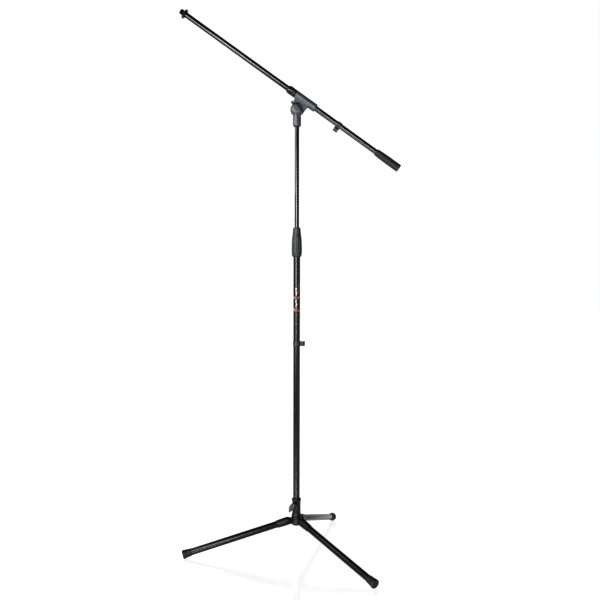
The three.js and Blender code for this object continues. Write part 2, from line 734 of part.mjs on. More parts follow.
const tipLockRing = () =>
  revolve([
    [STUD_R + GAP, TIP_RING_START],
    [TIP_RING_R - 0.8, TIP_RING_START],
    [TIP_RING_R, TIP_RING_START + 0.8],
    [TIP_RING_R, TIP_RING_START + 2.6],
    [TIP_RING_R - 0.6, TIP_RING_START + 3.2],
    [TIP_RING_R - 4, TIP_RING_START + 3.4],
    [TIP_RING_R - 4.4, TIP_RING_END],
    [STUD_R + GAP, TIP_RING_END],
  ]);

const tailGrip = () =>
  revolve([
    [BOOM_BORE_R, TAIL_GRIP_START],
    [9.3, TAIL_GRIP_START],
    [9.6, TAIL_GRIP_START + 3],
    [10.8, TAIL_GRIP_START + 5],
    [11.6, TAIL_GRIP_START + 22],
    [12.1, TAIL_GRIP_START + 50],
    [11.9, TAIL_GRIP_END - 5],
    [11, TAIL_GRIP_END - 1.6],
    [9, TAIL_GRIP_END],
    [0, TAIL_GRIP_END],
    [0, BOOM_TUBE_END + GAP],
    [BOOM_BORE_R, BOOM_TUBE_END + GAP],
  ]);

const tailWeight = () => rod(BOOM_TUBE_R - THIN_WALL - GAP, BOOM_TUBE_END - 66, BOOM_TUBE_END - 4, 1);

function boomGroup() {
  const clamp = group(
    [0, 0, 0],
    mesh("boom_clamp_body", clampBody(), GREY_PLASTIC),
    mesh("pivot_washer", pivotWasher(), NYLON),
  );
  const clip = mesh("boom_cable_clip", cableClip(BOOM_TUBE_R, BOOM_CLIP_WALL), DARK_PLASTIC);
  clip.position.z = BOOM_CLIP_S;
  const tube = pipe(BOOM_TUBE_R, BOOM_TUBE_R - THIN_WALL, BOOM_TUBE_START, BOOM_TUBE_END);
  const boom = group(
    [0, 0, BOOM_T],
    mesh("boom_tube", tube, BLACK_PAINT),
    mesh("boom_lock_nut", boomLockNut(), DARK_PLASTIC),
    mesh("boom_collet", boomCollet(), NYLON),
    mesh("tip_stud", tipStud(), BLACK_PAINT),
    mesh("tip_lock_ring", tipLockRing(), BLACK_PAINT),
    mesh("tail_grip", tailGrip(), BLACK_RUBBER),
    mesh("tail_weight", tailWeight(), STEEL),
    clip,
  );
  boom.rotation.y = Math.PI / 2;
  const all = group([0, 0, 0], clamp, boom);
  all.rotation.y = BOOM_TILT;
  return all;
}

// ---------------------------------------------------------------- the stand

const stand = group([POLE_X, POLE_Y, 0], baseGroup(), lowerPoleGroup(), upperPoleGroup());

export default stand;
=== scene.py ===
"""Looks of the boom microphone stand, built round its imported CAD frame.

Shapes are made in millimetres in the local frame of each assembly, and carried into the row frame by a matrix
taken from the record's joints. Every visible CAD node is replaced by a finer piece of the same size.
"""

import json
import math

import bmesh
import bpy
from mathutils import Matrix, Vector


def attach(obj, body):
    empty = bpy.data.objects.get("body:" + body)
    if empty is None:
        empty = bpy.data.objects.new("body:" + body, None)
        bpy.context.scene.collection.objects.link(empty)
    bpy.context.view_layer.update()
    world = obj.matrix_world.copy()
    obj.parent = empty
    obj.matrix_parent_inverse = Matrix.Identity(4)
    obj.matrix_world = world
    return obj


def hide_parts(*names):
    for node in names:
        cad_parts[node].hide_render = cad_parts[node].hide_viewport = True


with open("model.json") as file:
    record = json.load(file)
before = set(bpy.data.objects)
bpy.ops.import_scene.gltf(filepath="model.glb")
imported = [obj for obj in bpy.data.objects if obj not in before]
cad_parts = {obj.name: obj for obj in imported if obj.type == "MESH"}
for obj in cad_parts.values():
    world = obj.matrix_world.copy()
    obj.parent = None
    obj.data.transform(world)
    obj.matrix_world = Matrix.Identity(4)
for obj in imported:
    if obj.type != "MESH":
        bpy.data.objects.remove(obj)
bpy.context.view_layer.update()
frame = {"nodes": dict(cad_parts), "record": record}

# ---------------------------------------------------------------- places, from the record's joints

record = frame["record"]
joints = {joint["name"]: joint for joint in record["behaviour"]["joints"]}
node_body = {node: body for body, nodes in record["behaviour"]["bodies"].items() for node in nodes}
node_slot = {row["node"]: row["material_slot"] for row in record["subparts"]}

MM = 0.001
TO_METRES = Matrix.Scale(MM, 4)


def turn(axis, radians):
    return Matrix.Rotation(radians, 4, axis)


def joint_point(name):
    return Vector(joints[name]["pos_m"])


pivot = joint_point("boom_tilt")
boom_axis = Vector(joints["boom_slide"]["axis"])
boom_tilt = math.asin(-boom_axis.z)
boom_foot = joint_point("boom_roll")
pole_foot = Vector((pivot.x, pivot.y, 0))

pole_frame = Matrix.Translation(pole_foot) @ TO_METRES
pivot_frame = Matrix.Translation(pivot) @ TO_METRES
clamp_frame = Matrix.Translation(pivot) @ turn("Y", boom_tilt) @ TO_METRES
boom_frame = Matrix.Translation(boom_foot) @ turn("Y", math.pi / 2 + boom_tilt) @ TO_METRES

LEG_SLOPE = math.radians(15.42)
LEGS = (1, 2, 3)
LEG_PIVOT_HIGH = joint_point("leg_fold_1").z / MM
WING_SCREW_HIGH = joint_point("wing_screw_turn").z / MM


def leg_azimuth(number):
    out = joint_point(f"leg_fold_{number}") - pole_foot
    return math.atan2(out.y, out.x)


def leg_frame(number):
    place = Matrix.Translation(joint_point(f"leg_fold_{number}"))
    return place @ turn("Z", leg_azimuth(number)) @ turn("Y", math.pi / 2 + LEG_SLOPE) @ TO_METRES


wing_axis = Vector(joints["wing_screw_turn"]["axis"])
wing_azimuth = math.atan2(wing_axis.y, wing_axis.x)
wing_frame = (
    Matrix.Translation(joint_point("wing_screw_turn"))
    @ turn("Z", wing_azimuth - math.pi / 2)
    @ TO_METRES
)

# ---------------------------------------------------------------- meshes


def smooth_mesh(mesh, sharp_angle=38):
    mesh.shade_smooth()
    mesh.set_sharp_from_angle(angle=math.radians(sharp_angle))


def mesh_object(name, bm):
    bmesh.ops.recalc_face_normals(bm, faces=bm.faces)
    mesh = bpy.data.meshes.new(name)
    bm.to_mesh(mesh)
    bm.free()
    made = bpy.data.objects.new(name, mesh)
    bpy.context.scene.collection.objects.link(made)
    return made


def filleted(corners, closed, steps=4):
    """Corners are (radius, height) or (radius, height, fillet); each fillet becomes a short arc."""
    count = len(corners)
    out = []
    for i, corner in enumerate(corners):
        here = Vector(corner[:2])
        fillet = corner[2] if len(corner) > 2 else 0
        at_end = not closed and i in (0, count - 1)
        if not fillet or at_end:
            out.append(here)
            continue
        before = Vector(corners[i - 1][:2]) - here
        after = Vector(corners[(i + 1) % count][:2]) - here
        cut = min(fillet, before.length * 0.48, after.length * 0.48)
        start = here + before.normalized() * cut
        end = here + after.normalized() * cut
        for step in range(steps + 1):
            t = step / steps
            out.append(start.lerp(here, t).lerp(here.lerp(end, t), t))
    return out


def subdivided(points, longest, closed):
    out = []
    pairs = list(zip(points, points[1:] + points[:1]))
    for a, b in pairs if closed else pairs[:-1]:
        parts = max(1, math.ceil((b - a).length / longest))
        out += [a.lerp(b, step / parts) for step in range(parts)]
    return out if closed else out + [points[-1]]


def lathe(corners, sides=96, shape=None, longest=None):
    """Turns an outline round Z. It starts and ends on the axis, or closes on itself.
    shape(radius, height, angle) may return another radius, for flutes, ribs and threads."""
    closed = corners[0][0] > 0
    points = filleted(corners, closed)
    if longest:
        points = subdivided(points, longest, closed)
    bm = bmesh.new()
    rings = []
    for point in points:
        radius, height = point
        if radius < 1e-6:
            rings.append([bm.verts.new((0, 0, height))] * sides)
            continue
        ring = []
        for side in range(sides):
            angle = 2 * math.pi * side / sides
            r = shape(radius, height, angle) if shape else radius
            ring.append(bm.verts.new((r * math.cos(angle), r * math.sin(angle), height)))
        rings.append(ring)
    if closed:
        rings.append(rings[0])
    for low, high in zip(rings, rings[1:]):
        for side in range(sides):
            nxt = (side + 1) % sides
            corner_verts = []
            for vert in (low[side], low[nxt], high[nxt], high[side]):
                if vert not in corner_verts:
                    corner_verts.append(vert)
            if len(corner_verts) > 2:
                bm.faces.new(corner_verts)
    return bm


def rod(radius, low, high, sides=96):
    """A plain cylinder round Z, between two heights."""
    return lathe([(0, low), (radius, low), (radius, high), (0, high)], sides)


def block(low, high):
    """A box between two corners."""
    bm = bmesh.new()
    size = [b - a for a, b in zip(low, high)]
    centre = [(a + b) / 2 for a, b in zip(low, high)]
    bmesh.ops.create_cube(bm, size=1, matrix=Matrix.Translation(centre) @ Matrix.Diagonal((*size, 1)))
    return bm


def prism(outline, low, high):
    """A flat outline in X and Y, between two heights."""
    bm = bmesh.new()
    bottom = [bm.verts.new((x, y, low)) for x, y in outline]
    top = [bm.verts.new((x, y, high)) for x, y in outline]
    bm.faces.new(bottom[::-1])
    bm.faces.new(top)
    for i in range(len(outline)):
        j = (i + 1) % len(outline)
        bm.faces.new((bottom[i], bottom[j], top[j], top[i]))
    return bm


def moved(bm, matrix):
    bmesh.ops.transform(bm, matrix=matrix, verts=bm.verts)
    return bm


def along_y(bm):
    return moved(bm, turn("X", -math.pi / 2))


def along_x(bm):
    return moved(bm, turn("Y", math.pi / 2))


def upright(bm):
    """Lays a prism's outline in X and Z, with its heights along -Y."""
    return moved(bm, turn("X", math.pi / 2))


def shifted(bm, x=0, y=0, z=0):
    return moved(bm, Matrix.Translation((x, y, z)))


def joined(*parts):
    whole = bmesh.new()
    for part in parts:
        mesh = bpy.data.meshes.new("part")
        bmesh.ops.recalc_face_normals(part, faces=part.faces)
        part.to_mesh(mesh)
        part.free()
        whole.from_mesh(mesh)
        bpy.data.meshes.remove(mesh)
    return whole


def apply_modifiers(made):
    graph = bpy.context.evaluated_depsgraph_get()
    mesh = bpy.data.meshes.new_from_object(made.evaluated_get(graph))
    made.modifiers.clear()
    old = made.data
    made.data = mesh
    bpy.data.meshes.remove(old)


def remeshed(made, voxel):
    remesh = made.modifiers.new("remesh", "REMESH")
    remesh.mode = "VOXEL"
    remesh.voxel_size = voxel
    apply_modifiers(made)


def cut_from(made, tool_bm, operation="DIFFERENCE"):
    tool = mesh_object("tool", tool_bm)
    boolean = made.modifiers.new("cut", "BOOLEAN")
    boolean.operation = operation
    boolean.solver = "EXACT"
    boolean.object = tool
    apply_modifiers(made)
    bpy.data.objects.remove(tool)


def common(first_bm, second_bm):
    """The space that two shells share."""
    made = mesh_object("common", first_bm)
    cut_from(made, second_bm, "INTERSECT")
    shared = bmesh.new()
    shared.from_mesh(made.data)
    bpy.data.objects.remove(made)
    return shared


def moulded(name, shells, cuts=(), bores=(), voxel=0.7, smoothing=4):
    """Shells fused into one casting with softened edges. Cuts are softened too, and bores stay crisp."""
    made = mesh_object(name, joined(*shells))
    remeshed(made, voxel)
    if cuts:
        for tool in cuts:
            cut_from(made, tool)
        remeshed(made, voxel)
    relax = made.modifiers.new("relax", "SMOOTH")
    relax.factor = 0.5
    relax.iterations = smoothing
    apply_modifiers(made)
    for tool in bores:
        cut_from(made, tool)
    return made


# ---------------------------------------------------------------- materials


class Nodes:
    """A material's node tree, with its Principled shader and object coordinates."""

    def __init__(self, name):
        self.material = bpy.data.materials.new(name)
        self.material.use_nodes = True
        self.tree = self.material.node_tree
        self.shader = self.tree.nodes["Principled BSDF"]
        self.place = self.tree.nodes.new("ShaderNodeTexCoord").outputs["Object"]

    def link(self, source, target):
        self.tree.links.new(source, target)

    def noise(self, scale, detail=3.0, rough=0.5, stretch=None):
        node = self.tree.nodes.new("ShaderNodeTexNoise")
        node.inputs["Scale"].default_value = scale
        node.inputs["Detail"].default_value = detail
        node.inputs["Roughness"].default_value = rough
        place = self.place
        if stretch:
            mapping = self.tree.nodes.new("ShaderNodeMapping")
            mapping.inputs["Scale"].default_value = stretch
            self.link(place, mapping.inputs["Vector"])
            place = mapping.outputs["Vector"]
        self.link(place, node.inputs["Vector"])
        return node.outputs["Fac"]

    def ranged(self, value, low, high, from_low=0.3, from_high=0.7):
        node = self.tree.nodes.new("ShaderNodeMapRange")
        node.inputs["From Min"].default_value = from_low
        node.inputs["From Max"].default_value = from_high
        node.inputs["To Min"].default_value = low
        node.inputs["To Max"].default_value = high
        self.link(value, node.inputs["Value"])
        return node.outputs["Result"]

    def mixed(self, factor, first, second):
        node = self.tree.nodes.new("ShaderNodeMix")
        node.data_type = "RGBA"
        self.link(factor, node.inputs["Factor"])
        for socket, value in ((node.inputs["A"], first), (node.inputs["B"], second)):
            if isinstance(value, tuple):
                socket.default_value = (*value, 1)
            else:
                self.link(value, socket)
        return node.outputs["Result"]

    def edges(self, low=0.52, high=0.62):
        node = self.tree.nodes.new("ShaderNodeNewGeometry")
        return self.ranged(node.outputs["Pointiness"], 0, 1, low, high)

    def bump(self, height, strength, distance, base=None):
        node = self.tree.nodes.new("ShaderNodeBump")
        node.inputs["Strength"].default_value = strength
        node.inputs["Distance"].default_value = distance
        self.link(height, node.inputs["Height"])
        if base:
            self.link(base, node.inputs["Normal"])
        return node.outputs["Normal"]

    def finish(self, colour, roughness, normal):
        self.link(colour, self.shader.inputs["Base Color"])
        self.link(roughness, self.shader.inputs["Roughness"])
        self.link(normal, self.shader.inputs["Normal"])
        return self.material


def powder_coat(name, low_rough, high_rough, coat, coat_rough):
    """Black powder coat: a faint orange peel, and slightly paler patches."""
    n = Nodes(name)
    patches = n.noise(9, 4)
    colour = n.mixed(n.ranged(patches, 0, 1), (0.008, 0.008, 0.0083), (0.0125, 0.0125, 0.013))
    roughness = n.ranged(n.noise(55, 5), low_rough, high_rough)
    peel = n.bump(n.noise(700, 2), 0.02, 0.0002)
    n.shader.inputs["Specular IOR Level"].default_value = 0.5
    n.shader.inputs["Coat Weight"].default_value = coat
    n.shader.inputs["Coat Roughness"].default_value = coat_rough
    return n.finish(colour, roughness, peel)


def moulded_plastic(name, dark, light, worn, low_rough, high_rough):
    """Glass-filled nylon: fine spark-eroded grain, slight mottling and paler edges."""
    n = Nodes(name)
    mottle = n.noise(70, 5, 0.6)
    colour = n.mixed(n.ranged(mottle, 0, 1), dark, light)
    colour = n.mixed(n.ranged(n.edges(), 0, 0.6, 0, 1), colour, worn)
    roughness = n.ranged(n.noise(240, 4), low_rough, high_rough)
    grain = n.bump(n.noise(2600, 3, 0.6), 0.12, 0.00012)
    waves = n.bump(n.noise(120, 2), 0.08, 0.0004, grain)
    return n.finish(colour, roughness, waves)


def rubber():
    """Black rubber: matt, with fine grain and dusty patches."""
    n = Nodes("black_rubber")
    colour = n.mixed(n.ranged(n.noise(60, 6, 0.65), 0, 1), (0.019, 0.019, 0.0197), (0.03, 0.03, 0.031))
    colour = n.mixed(n.ranged(n.edges(), 0, 0.4, 0, 1), colour, (0.04, 0.04, 0.042))
    roughness = n.ranged(n.noise(180, 4), 0.42, 0.54)
    grain = n.bump(n.noise(1900, 4, 0.7), 0.4, 0.00018)
    return n.finish(colour, roughness, grain)


def bare_metal(name, dark, light, low_rough, high_rough, stretch=(1, 1, 14)):
    """Turned or plated metal with fine tool marks."""
    n = Nodes(name)
    n.shader.inputs["Metallic"].default_value = 1.0
    marks = n.noise(500, 4, 0.6, stretch)
    colour = n.mixed(n.ranged(marks, 0, 1), dark, light)
    roughness = n.ranged(n.noise(160, 4), low_rough, high_rough)
    return n.finish(colour, roughness, n.bump(marks, 0.12, 0.0001))


def print_ink(name, dark, light):
    """Screen-printed ink, slightly uneven."""
    n = Nodes(name)
    colour = n.mixed(n.ranged(n.noise(400, 4), 0, 1), dark, light)
    roughness = n.ranged(n.noise(300, 3), 0.38, 0.5)
    return n.finish(colour, roughness, n.bump(n.noise(1500, 3), 0.1, 0.00005))


SLOT_MATERIALS = {
    "black_paint": powder_coat("satin_powder_coat", 0.27, 0.29, 0.15, 0.2),
    "grey_plastic": moulded_plastic(
        "grey_nylon_moulding", (0.068, 0.068, 0.077), (0.077, 0.077, 0.087), (0.09, 0.09, 0.1), 0.36, 0.42
    ),
    "dark_plastic": moulded_plastic(
        "dark_nylon_moulding", (0.036, 0.0365, 0.04), (0.046, 0.047, 0.051), (0.08, 0.08, 0.085), 0.36, 0.46
    ),
    "black_plastic": moulded_plastic(
        "black_nylon_moulding",
        (0.012, 0.012, 0.0126),
        (0.017, 0.017, 0.018),
        (0.032, 0.032, 0.034),
        0.34,
        0.44,
    ),
    "black_rubber": rubber(),
    "nylon": moulded_plastic(
        "white_nylon", (0.44, 0.43, 0.38), (0.52, 0.5, 0.45), (0.6, 0.58, 0.53), 0.45, 0.6
    ),
    "steel": bare_metal("plated_steel", (0.34, 0.35, 0.36), (0.52, 0.53, 0.54), 0.28, 0.4),
    "brass": bare_metal("turned_brass", (0.5, 0.33, 0.11), (0.66, 0.46, 0.18), 0.26, 0.38),
}
GLOSS_PAINT = powder_coat("gloss_powder_coat", 0.165, 0.18, 0.6, 0.09)
GLOSS_PLASTIC = moulded_plastic(
    "gloss_black_moulding", (0.014, 0.014, 0.015), (0.02, 0.02, 0.0215), (0.034, 0.034, 0.036), 0.1, 0.16
)
INKS = {
    "white": print_ink("white_ink", (0.2, 0.205, 0.205), (0.33, 0.33, 0.33)),
    "orange": print_ink("orange_ink", (0.19, 0.09, 0.066), (0.27, 0.15, 0.115)),
    "brick": print_ink("brick_ink", (0.1, 0.026, 0.019), (0.15, 0.044, 0.032)),
    "grey": print_ink("grey_ink", (0.1, 0.105, 0.11), (0.14, 0.145, 0.15)),
}

for node, made in frame["nodes"].items():
    made.data.materials.clear()
    made.data.materials.append(SLOT_MATERIALS[node_slot[node]])


def add(made, matrix, body, slot, material=None, sharp_angle=38):
    """Carries a finished piece into the row frame and onto its body."""
    made.data.transform(matrix)
    smooth_mesh(made.data, sharp_angle)
    made.data.materials.clear()
    made.data.materials.append(material or SLOT_MATERIALS[slot])
    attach(made, body)


def stand_for(node, shape, matrix, material=None, sharp_angle=38):
    """Puts a bmesh or an object in a CAD node's place, on its body and with its material slot."""
    made = shape if isinstance(shape, bpy.types.Object) else mesh_object("piece", shape)
    made.name = f"{node}_fine"
    add(made, matrix, node_body[node], node_slot[node], material, sharp_angle)
    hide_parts(node)


# ---------------------------------------------------------------- tubes

LOWER_TUBE_R = 10.1
UPPER_TUBE_R = 6.5
BOOM_TUBE_R = 8
LEG_TUBE_R = 9.75
THICK_WALL = 1.2
THIN_WALL = 1


def node_span(node, origin, axis):
    """How far a node reaches along an axis from a point, in millimetres."""
    spots = [vert.co for vert in frame["nodes"][node].data.vertices]
    reach = [(spot - origin).dot(axis) / MM for spot in spots]
    return min(reach), max(reach)


def tube(node, origin, axis, matrix, outer, wall, material=None):
    """A drawn tube as long as its CAD node, with eased ends."""
    low, high = node_span(node, origin, axis)
    inner = outer - wall
    outline = [(inner, low, 0.3), (outer, low, 0.4), (outer, high, 0.4), (inner, high, 0.3)]
    stand_for(node, lathe(outline, 128), matrix, material)


up = Vector((0, 0, 1))
tube("lower_tube", pole_foot, up, pole_frame, LOWER_TUBE_R, THICK_WALL)
tube("upper_tube", pole_foot, up, pole_frame, UPPER_TUBE_R, THIN_WALL, GLOSS_PAINT)
tube("boom_tube", boom_foot, boom_axis, boom_frame, BOOM_TUBE_R, THIN_WALL, GLOSS_PAINT)

# ---------------------------------------------------------------- legs

LEG_LENGTH = 339.6
SOCKET_R = 12.3
SOCKET_END = 36
FOOT_START = LEG_LENGTH - 28
YOKE_LOW = 91.8
YOKE_HIGH = 116
YOKE_R = 15.2
PIVOT_OUT = 28
LUG_R = 9.5
LUG_HALF = 4.8
LEG_PIN_R = 3
LEG_PIN_HALF = 11


def arc(centre, radius, start, end, steps=12):
    """Points on an arc; angles are in degrees."""
    angles = [math.radians(start + (end - start) * step / steps) for step in range(steps + 1)]
    return [(centre[0] + radius * math.cos(a), centre[1] + radius * math.sin(a)) for a in angles]


def leg_pin_hole():
    return along_y(rod(LEG_PIN_R + 0.15, -14, 14, 48))


def leg_socket():
    """A sleeve on the leg tube, with a ball-shaped end that is forked over the yoke's lug."""
    ball_angles = (-1.35, -1.1, -0.85, -0.6, -0.35, -0.12)
    ball = [(SOCKET_R * math.cos(a), SOCKET_R * math.sin(a)) for a in ball_angles]
    sleeve = [(SOCKET_R, 2), (SOCKET_R, 8, 4), (11.1, SOCKET_END, 0.8), (0, SOCKET_END)]
    slot = block((-40, -LUG_HALF - 0.3, -40), (40, LUG_HALF + 0.3, 10.3))
    tube_bore = rod(LEG_TUBE_R + 0.15, 19.7, 40)
    return moulded(
        "leg_socket",
        [lathe([(0, -SOCKET_R), *ball, *sleeve])],
        cuts=[slot],
        bores=[tube_bore, leg_pin_hole()],
        voxel=0.5,
        smoothing=3,
    )


def foot_radius(radius, height, angle):
    """Two shallow grip rings near the foot's end."""
    ring = 0
    for centre in (LEG_LENGTH - 6.2, LEG_LENGTH - 3.9):
        ring += math.exp(-(((height - centre) / 0.45) ** 2))
    return radius - 0.28 * ring if radius > 11 else radius


def leg_foot(number):
    """A rubber foot, cut off level with the floor."""
    end = LEG_LENGTH
    outline = [
        (0, end - 5),
        (LEG_TUBE_R + 0.1, end - 5),
        (LEG_TUBE_R + 0.1, FOOT_START),
        (LEG_TUBE_R + 0.9, FOOT_START, 0.4),
        (LEG_TUBE_R + 1.4, FOOT_START + 5, 3),
        (LEG_TUBE_R + 2.1, end - 14, 4),
        (13.1, end - 7, 3),
        (13.4, end - 3, 2),
        (12.9, end - 1, 0.7),
        (11.9, end, 0.8),
        (0, end),
    ]
    made = mesh_object("foot", lathe(outline, 96, foot_radius, 0.5))
    matrix = leg_frame(number)
    floor = block((-200, -200, -200), (200, 200, 0))
    centre = matrix @ Vector((0, 0, end))
    place = matrix.inverted() @ Matrix.Translation((centre.x, centre.y, 0)) @ TO_METRES
    cut_from(made, moved(floor, place))
    return made, matrix


def leg_pin():
    """A pin with chamfered ends."""
    half = LEG_PIN_HALF
    outline = [
        (0, -half),
        (LEG_PIN_R - 0.6, -half, 1.2),
        (LEG_PIN_R, -half + 0.6, 0.3),
        (LEG_PIN_R, half - 0.6, 0.3),
        (LEG_PIN_R - 0.6, half, 1.2),
        (0, half),
    ]
    return along_y(lathe(outline, 48))


for leg in LEGS:
    matrix = leg_frame(leg)
    origin = matrix.translation
    along = (matrix @ Vector((0, 0, 1)) - origin).normalized()
    tube(f"leg_tube_{leg}", origin, along, matrix, LEG_TUBE_R, THICK_WALL)
    stand_for(f"leg_socket_{leg}", leg_socket(), matrix)
    stand_for(f"leg_foot_{leg}", *leg_foot(leg))
    stand_for(f"leg_pin_{leg}", leg_pin(), matrix)

# ---------------------------------------------------------------- hub


def turned_to_leg(bm, number):
    return moved(bm, turn("Z", leg_azimuth(number)))


def yoke_lug():
    """A round-ended lug that a leg turns on."""
    root = 11
    round_end = arc((PIVOT_OUT, LEG_PIVOT_HIGH), LUG_R, -90, 90)
    outline = [(root, LEG_PIVOT_HIGH - LUG_R), *round_end, (root, LEG_PIVOT_HIGH + LUG_R)]
    return upright(prism(outline, -LUG_HALF, LUG_HALF))


def hub_yoke():
    """A ring round the pole, with a lug for each leg."""
    ring = lathe([(0, YOKE_LOW), (YOKE_R, YOKE_LOW, 2), (YOKE_R, YOKE_HIGH, 2), (0, YOKE_HIGH)])
    lugs = [turned_to_leg(yoke_lug(), leg) for leg in LEGS]
    pin_holes = [
        turned_to_leg(shifted(leg_pin_hole(), x=PIVOT_OUT, z=LEG_PIVOT_HIGH), leg)
        for leg in LEGS
    ]
    bore = rod(LOWER_TUBE_R + 0.4, 80, 120)
    return moulded("hub_yoke", [ring, *lugs], bores=[bore, *pin_holes], voxel=0.65, smoothing=4)


HOUSING_LOW = YOKE_HIGH + 0.3
HOUSING_HIGH = 172.5
HOUSING_FOOT_R = 14.8
HOUSING_R = 12.7
HOUSING_LIP_R = 14.1
SCREW_HOLE_R = 3.2


def turned_to_screw(bm):
    return shifted(moved(along_x(bm), turn("Z", wing_azimuth)), z=WING_SCREW_HIGH)


def hub_housing():
    """The sleeve above the yoke, with a thick lip and a boss for the wing screw."""
    outline = [
        (0, HOUSING_LOW),
        (HOUSING_FOOT_R, HOUSING_LOW, 0.6),
        (HOUSING_FOOT_R, YOKE_HIGH + 4, 2),
        (HOUSING_R, YOKE_HIGH + 9, 4),
        (HOUSING_R, HOUSING_HIGH - 10, 1.5),
        (HOUSING_LIP_R, HOUSING_HIGH - 8, 1.2),
        (HOUSING_LIP_R, HOUSING_HIGH - 2.2, 1.5),
        (HOUSING_LIP_R - 1.3, HOUSING_HIGH, 1),
        (0, HOUSING_HIGH),
    ]
    boss = turned_to_screw(lathe([(0, 5), (6.9, 5), (6.4, 21, 0.8), (0, 21)], 64))
    screw_hole = turned_to_screw(rod(SCREW_HOLE_R, 2, 25, 48))
    bore = rod(LOWER_TUBE_R + 0.3, 100, 190)
    return moulded(
        "hub_housing",
        [lathe(outline), boss],
        bores=[bore, screw_hole],
        voxel=0.6,
        smoothing=5,
    )


stand_for("hub_yoke", hub_yoke(), pole_frame)
stand_for("hub_housing", hub_housing(), pole_frame)

WING_START = 24.3
WING_THICK = 6
WING_LENGTH = 27
WING_HUB_R = 6.4
DISH_R = 24
WING_TURN = math.radians(-33)


def wing_lever():
    """A leaf-shaped lever, thinned towards its tip and dished on its outer face."""
    leaf = [
        (5.9, 1),
        (7.3, -6),
        (7.1, -12),
        (5.2, -17.5),
        (2.2, -22.9),
        (-1.2, -WING_LENGTH),
        (-3.4, -24.8),
        (-5.6, -19),
        (-7.2, -12),
        (-7.2, -5),
        (-5.9, 1),
    ]
    blade = upright(prism(leaf, -WING_THICK, 0))
    back, front = -0.7, WING_THICK + 0.9
    hub = lathe([(0, back), (WING_HUB_R, back, 1), (WING_HUB_R, front, 1.6), (0, front)], 64)
    dish = shifted(along_x(rod(DISH_R, -6, 6, 64)), y=DISH_R + WING_THICK - 1.4, z=-20)
    made = moulded("wing_lever", [blade, along_y(hub)], cuts=[dish], voxel=0.45, smoothing=5)
    made.data.transform(turn("Y", WING_TURN))
    cut_from(made, along_y(rod(SCREW_HOLE_R, -3, WING_THICK - 1, 48)))
    made.data.transform(Matrix.Translation((0, WING_START, 0)))
    return made


stand_for("wing_screw_lever", wing_lever(), wing_frame)

# ---------------------------------------------------------------- clutch

CLUTCH_LOW = 937
CLUTCH_HIGH = 1029
FLUTES = 12


def fluted(radius, height, angle):
    """Shallow round flutes that fade out towards both ends of the grip."""
    if radius < 11.4:
        return radius
    rise = min(1, max(0, (height - CLUTCH_LOW - 6) / 9))
    fall = min(1, max(0, (CLUTCH_LOW + 66 - height) / 22))
    window = (3 * rise**2 - 2 * rise**3) * (3 * fall**2 - 2 * fall**3)
    groove = max(0, math.cos(angle * FLUTES)) ** 1.6
    return radius - 1.05 * window * groove


def clutch_grip():
    """A hollow barrel grip, widest below its middle."""
    outline = [
        (UPPER_TUBE_R + 0.5, CLUTCH_HIGH - 8),
        (8.7, CLUTCH_HIGH - 12),
        (10.3, CLUTCH_LOW + 48),
        (11, CLUTCH_LOW + 47),
        (12, CLUTCH_LOW + 46),
        (12, CLUTCH_LOW + 5),
        (10.5, CLUTCH_LOW + 5),
        (10.5, CLUTCH_LOW, 0.4),
        (13.2, CLUTCH_LOW, 1),
        (14.6, CLUTCH_LOW + 3.5, 3),
        (15.6, CLUTCH_LOW + 10, 5),
        (16, CLUTCH_LOW + 23, 8),
        (15.6, CLUTCH_LOW + 38, 8),
        (14.9, CLUTCH_LOW + 53, 4),
        (14.4, CLUTCH_LOW + 62, 3),
        (12.7, CLUTCH_LOW + 70, 4),
        (12.1, CLUTCH_LOW + 78, 4),
        (11, CLUTCH_HIGH, 1.5),
        (UPPER_TUBE_R + 0.5, CLUTCH_HIGH, 0.5),
    ]
    return lathe(outline, 192, fluted, 1.2)


stand_for("clutch_grip", clutch_grip(), pole_frame, sharp_angle=50)

# ---------------------------------------------------------------- pivot and clamp

CHEEK_R = 19.9
CHEEK_BACK = -1
CHEEK_FRONT = -12.5
CHEEK_RIM = -4
DOME_EDGE = 7
DOME_EDGE_R = 36
DOME_EDGE_SLOPE = 7.5
DOME_TURN = math.radians(23)
COLLAR_R = 12.4
COLLAR_LOW = -55
COLLAR_HIGH = -23
DISC_R = 20.6
STEM_HALF = 21.3
BOOM_T = 37
SLEEVE_R = 12.25
SLEEVE_START = -30.4
SLEEVE_END = 45.7


def collar():
    """A sleeve on the upper tube, tapered at its foot."""
    outline = [
        (0, COLLAR_LOW),
        (COLLAR_R - 3, COLLAR_LOW, 0.6),
        (COLLAR_R, COLLAR_LOW + 3.5, 2),
        (COLLAR_R, COLLAR_HIGH, 1),
        (0, COLLAR_HIGH),
    ]
    return lathe(outline)


def full_dome():
    """A round dome with its top towards -Z."""
    outline = [
        (0, CHEEK_FRONT),
        (10, CHEEK_FRONT, 6),
        (16.2, -9.6, 6),
        (19.2, -6, 4),
        (CHEEK_R, -3, 2),
        (CHEEK_R, CHEEK_BACK, 0.3),
        (0, CHEEK_BACK),
    ]
    return lathe(outline, 128)


def dome_lens():
    """A wide cone whose flank cuts the dome off steeply on one side."""
    top = CHEEK_FRONT - 1
    foot_r = DOME_EDGE_R + DOME_EDGE_SLOPE
    outline = [(0, top), (DOME_EDGE_R, top), (foot_r, CHEEK_RIM), (foot_r, 0), (0, 0)]
    offset = Matrix.Translation((0, 0, DOME_EDGE - DOME_EDGE_R))
    return moved(along_y(lathe(outline, 256)), turn("Y", boom_tilt + DOME_TURN) @ offset)


